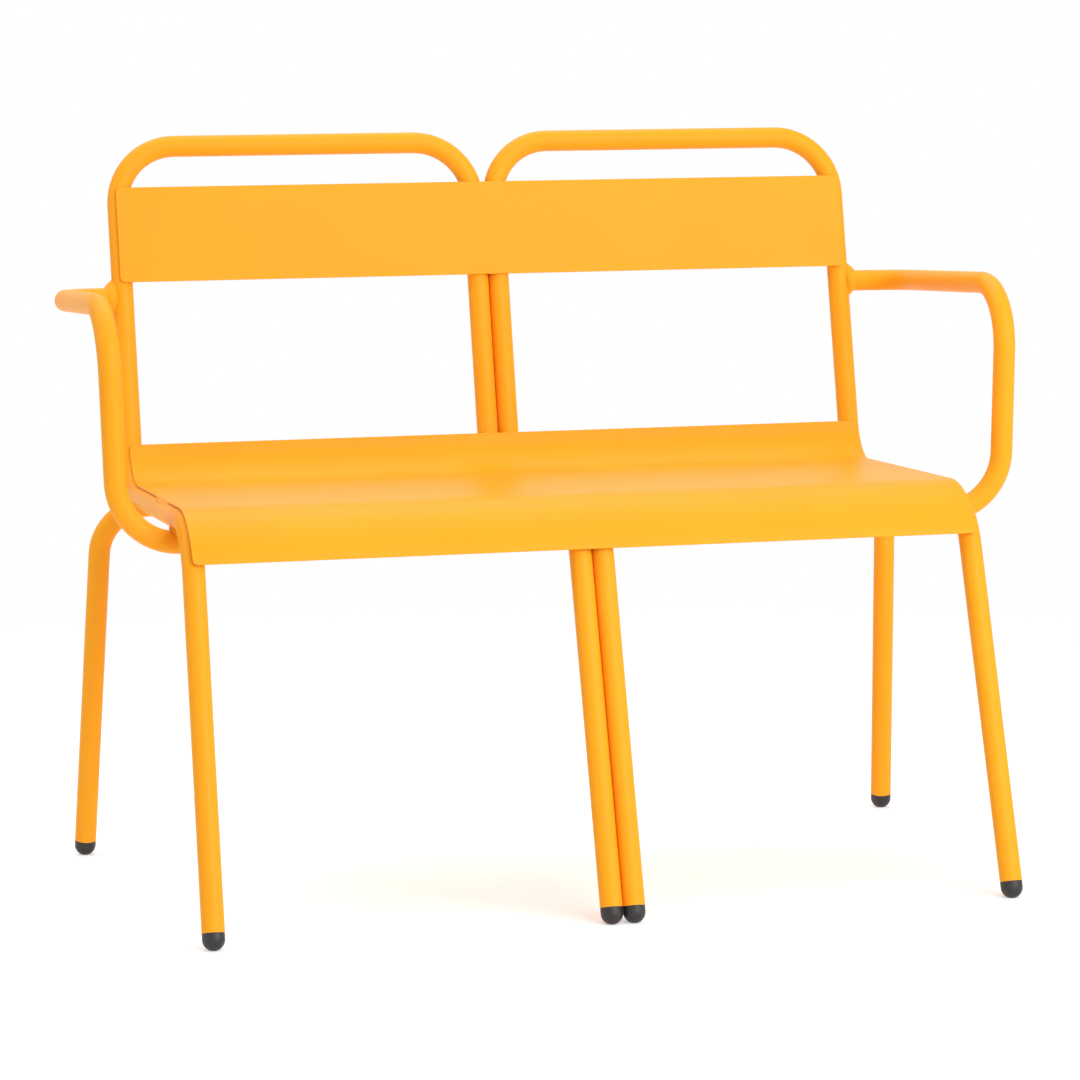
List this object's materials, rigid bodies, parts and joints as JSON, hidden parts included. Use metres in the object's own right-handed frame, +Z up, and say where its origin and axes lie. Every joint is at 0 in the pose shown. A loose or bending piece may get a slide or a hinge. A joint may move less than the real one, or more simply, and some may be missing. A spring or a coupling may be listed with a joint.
{
  "type": "metal bench",
  "caption": "Outdoor armchair bench of bent round steel tube with side-by-side back hoops, a folded seat sheet and a narrow back sheet on domed feet.",
  "frame": {"origin": "on the floor under the middle of the bench's box", "axes": "+X to the right of a viewer in front, +Y to the rear, +Z up"},
  "size_m": [1.0634, 0.626, 0.85],
  "materials": {
    "tube_coat": "satin yellow-orange powder coat",
    "sheet_coat": "satin yellow-orange powder coat",
    "weld_coat": "satin yellow-orange powder coat over weld beads",
    "foot_plastic": "dark grey moulded plastic"
  },
  "bodies": {
    "root": {"left_hoop_tube": "tube_coat", "right_hoop_tube": "tube_coat", "rear_leg_tube": "tube_coat", "left_arm_tube": "tube_coat", "right_arm_tube": "tube_coat", "seat_sheet": "sheet_coat", "back_sheet": "sheet_coat", "left_arm_top_weld": "weld_coat", "right_arm_top_weld": "weld_coat", "left_arm_bottom_weld": "weld_coat", "right_arm_bottom_weld": "weld_coat", "rear_leg_welds": "weld_coat", "middle_tube_welds": "weld_coat", "seat_sheet_welds": "weld_coat", "back_sheet_welds": "weld_coat", "front_left_foot": "foot_plastic", "front_middle_left_foot": "foot_plastic", "front_middle_right_foot": "foot_plastic", "front_right_foot": "foot_plastic", "rear_left_foot": "foot_plastic", "rear_right_foot": "foot_plastic", "left_arm_end_plug": "foot_plastic", "right_arm_end_plug": "foot_plastic"}
  },
  "joints": []
}
